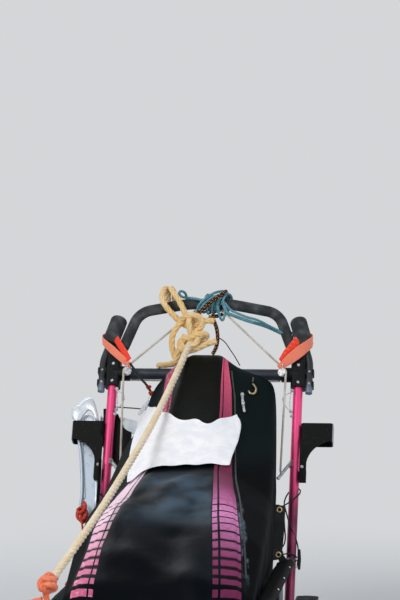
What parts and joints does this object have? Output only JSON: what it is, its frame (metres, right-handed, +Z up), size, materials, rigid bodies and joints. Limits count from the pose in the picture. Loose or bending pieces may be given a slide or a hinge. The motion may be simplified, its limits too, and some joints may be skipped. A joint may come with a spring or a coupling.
{
  "type": "dog sled",
  "caption": "Racing dog sled: leaning tubular frame on upturned runners, laced cargo bag, padded handlebar, snow hook and hinged foot brake.",
  "frame": {"origin": "on the ground under the middle of the whole part without its free cords", "axes": "+Z up, the front that is towed faces -Y, +X is the side on the picture's right"},
  "size_m": [0.734, 2.1, 0.9731],
  "materials": {
    "pink_tube": "anodised",
    "grey_tube": "anodised",
    "black_tube": "satin",
    "black_plastic": "moulded",
    "foam": "closed-cell foam",
    "sole_plastic": "extruded",
    "pad_rubber": "ribbed",
    "steel": "plated",
    "holder_sheet": "formed sheet",
    "orange_webbing": "woven webbing",
    "grey_cord": "braided",
    "bed_plastic": "sheet",
    "bow_plastic": "moulded",
    "light_alloy": "as cast",
    "bag_fabric": "coated",
    "bib_fabric": "plain weave",
    "yellow_rope": "laid rope",
    "orange_rope": "laid rope",
    "teal_cord": "braided",
    "red_rope": "laid rope"
  },
  "bodies": {
    "sled": {"bed_sheet": "bed_plastic", "bib": "bib_fabric", "bow_saddle_l": "black_plastic", "bow_saddle_r": "black_plastic", "brake_bracket_l": "steel", "brake_bracket_r": "steel", "brush_bow": "bow_plastic", "cord_wrap": "teal_cord", "corner_joint_l": "black_plastic", "corner_joint_r": "black_plastic", "cross_tube_front": "grey_tube", "cross_tube_mid": "grey_tube", "cross_tube_rear": "grey_tube", "footboard_l": "pad_rubber", "footboard_r": "pad_rubber", "handlebar": "grey_tube", "handlebar_grip": "foam", "hook_holder_l": "holder_sheet", "hook_holder_r": "holder_sheet", "hook_knot": "red_rope", "hook_line": "red_rope", "horn_l": "grey_tube", "horn_r": "grey_tube", "lift_line_l": "grey_cord", "lift_line_r": "grey_cord", "line_hitch": "red_rope", "line_lever_l": "grey_tube", "line_lever_r": "grey_tube", "nose_tube": "grey_tube", "pulley_l": "steel", "pulley_r": "steel", "rail_posts_l": "grey_tube", "rail_posts_r": "grey_tube", "rope_becket": "orange_rope", "rope_knot": "yellow_rope", "runner_l": "grey_tube", "runner_r": "grey_tube", "shoe_l": "sole_plastic", "shoe_r": "sole_plastic", "side_grip_l": "foam", "side_grip_r": "foam", "side_rail_l": "black_tube", "side_rail_r": "black_tube", "sled_bag": "bag_fabric", "sling_l": "orange_webbing", "sling_r": "orange_webbing", "snow_hook": "light_alloy", "snub_rope": "yellow_rope", "stanchion_foot_l": "black_plastic", "stanchion_foot_r": "black_plastic", "stanchion_l": "pink_tube", "stanchion_r": "pink_tube", "top_crossbar": "black_tube"},
    "brake": {"brake_bow": "grey_tube", "brake_claw_l": "steel", "brake_claw_r": "steel"}
  },
  "joints": [
    {"name": "brake_hinge", "type": "hinge", "parent": "sled", "child": "brake", "pos_m": [0, 0.292, 0.096], "axis": [-1, 0, 0], "range_deg": [0, 20], "stiffness_Nm_per_rad": 8, "springref_deg": -34.38}
  ]
}
